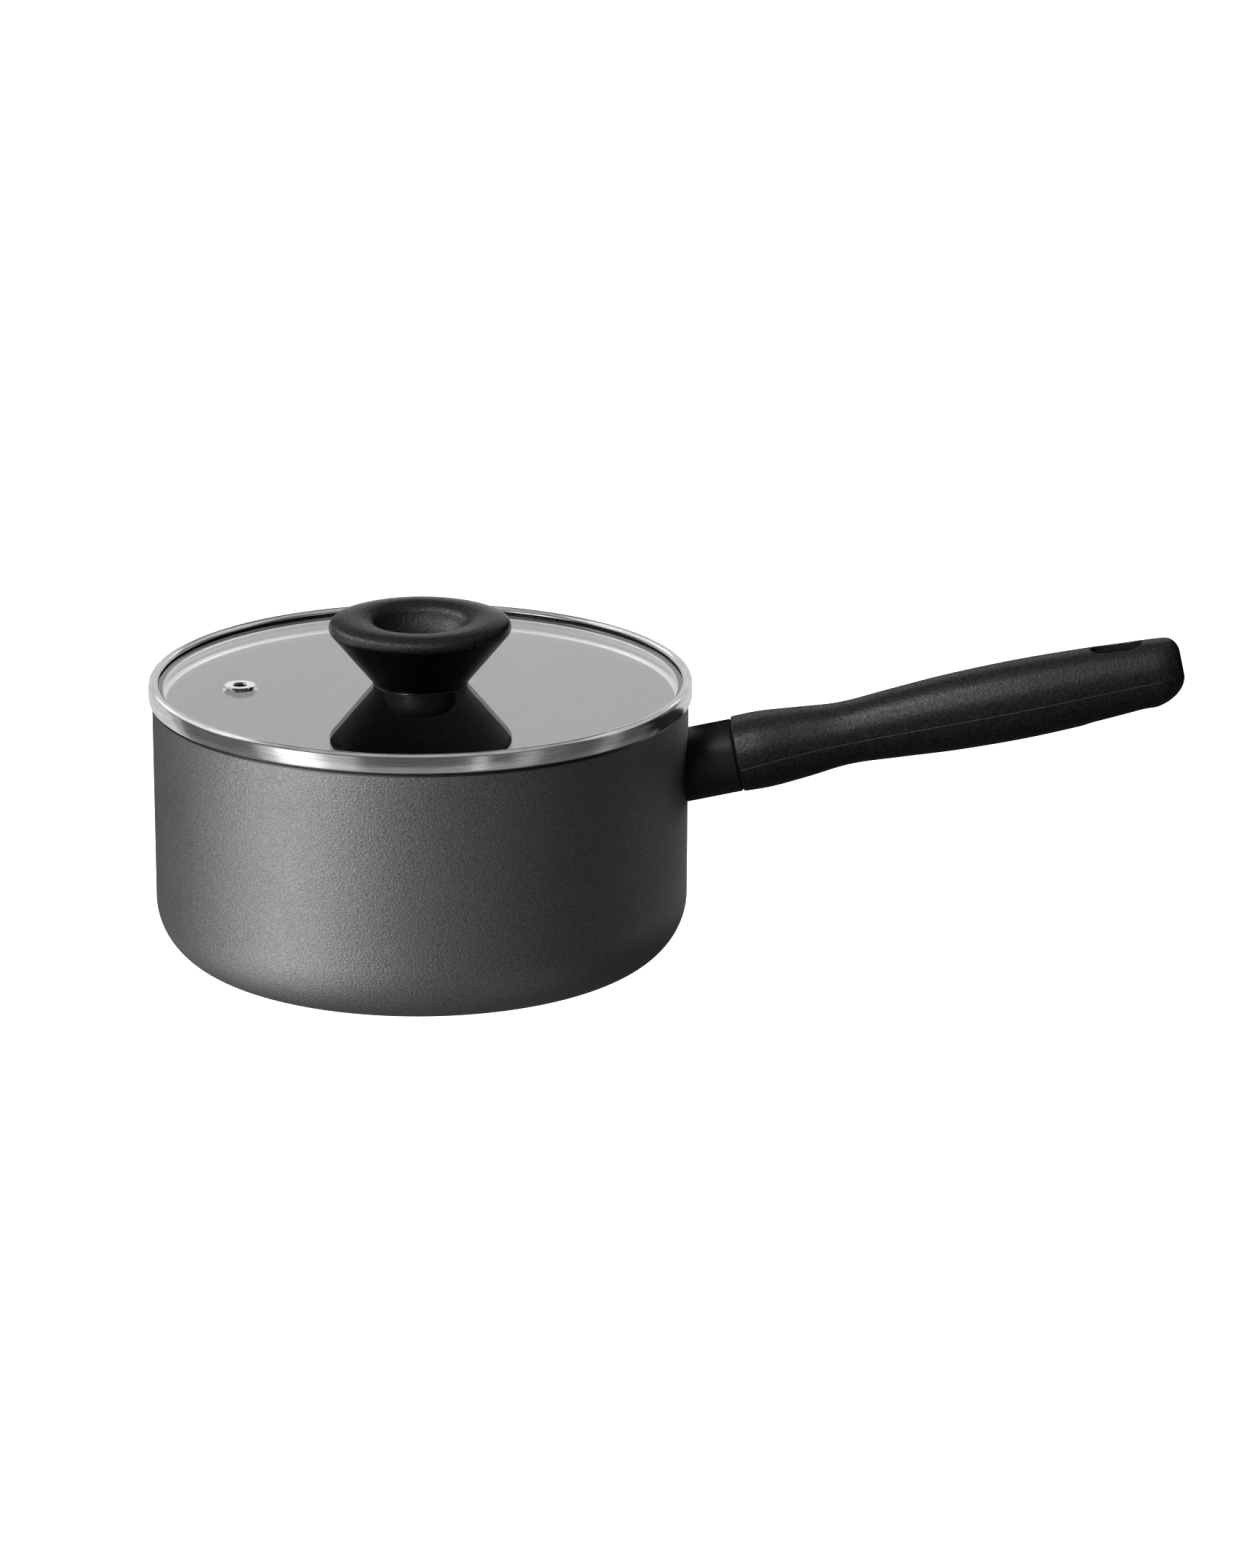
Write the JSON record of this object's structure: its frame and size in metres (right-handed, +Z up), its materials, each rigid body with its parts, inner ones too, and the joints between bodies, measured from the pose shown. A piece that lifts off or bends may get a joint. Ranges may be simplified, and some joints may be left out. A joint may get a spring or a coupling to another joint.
{
  "type": "saucepan with lid",
  "caption": "Saucepan with a rounded base, one long moulded handle with a hanging slot, and a lift-off flat glass lid with a steel band, a steam vent and a dished knob.",
  "frame": {"origin": "on the pan's axis, on the surface that the base rests on", "axes": "+Z up along the pan's axis, +X out along the handle"},
  "size_m": [0.357, 0.1876, 0.1203],
  "materials": {
    "pan_metal": "dark grey, finely sprayed metallic outside, darker non-stick inside",
    "bracket_steel": "plain pressed steel",
    "rivet_metal": "plain",
    "screw_steel": "zinc plated",
    "spring_steel": "plain spring steel",
    "guard_coat": "satin black",
    "grip_plastic": "black, fine pebble texture",
    "knob_plastic": "black, fine texture on top and glossy below the edge",
    "seat_plastic": "black, fine texture",
    "lid_glass": "clear toughened glass, glossy",
    "band_steel": "bright, fine circular brushing",
    "eyelet_steel": "polished",
    "seal_compound": "black sealing compound",
    "insert_brass": "plain turned brass",
    "gasket_rubber": "black rubber"
  },
  "bodies": {
    "pan": {"pan_body": "pan_metal", "handle_bracket": "bracket_steel", "bracket_rivets": "rivet_metal", "bracket_nut": "screw_steel", "flame_guard": "guard_coat", "handle_grip": "grip_plastic", "handle_screw": "screw_steel", "handle_plain_washer": "screw_steel", "handle_spring_washer": "spring_steel"},
    "lid": {"lid_glass": "lid_glass", "lid_band": "band_steel", "band_seal": "seal_compound", "vent_eyelet": "eyelet_steel", "vent_washer": "eyelet_steel", "knob": "knob_plastic", "knob_insert": "insert_brass", "knob_gasket": "gasket_rubber", "knob_seat": "seat_plastic", "seat_gasket": "gasket_rubber", "knob_screw": "screw_steel", "knob_plain_washer": "screw_steel", "knob_spring_washer": "spring_steel"}
  },
  "joints": [
    {"name": "lid_lift", "type": "slide", "parent": "pan", "child": "lid", "axis": [0, 0, 1], "range_m": [0, 0.15]}
  ]
}
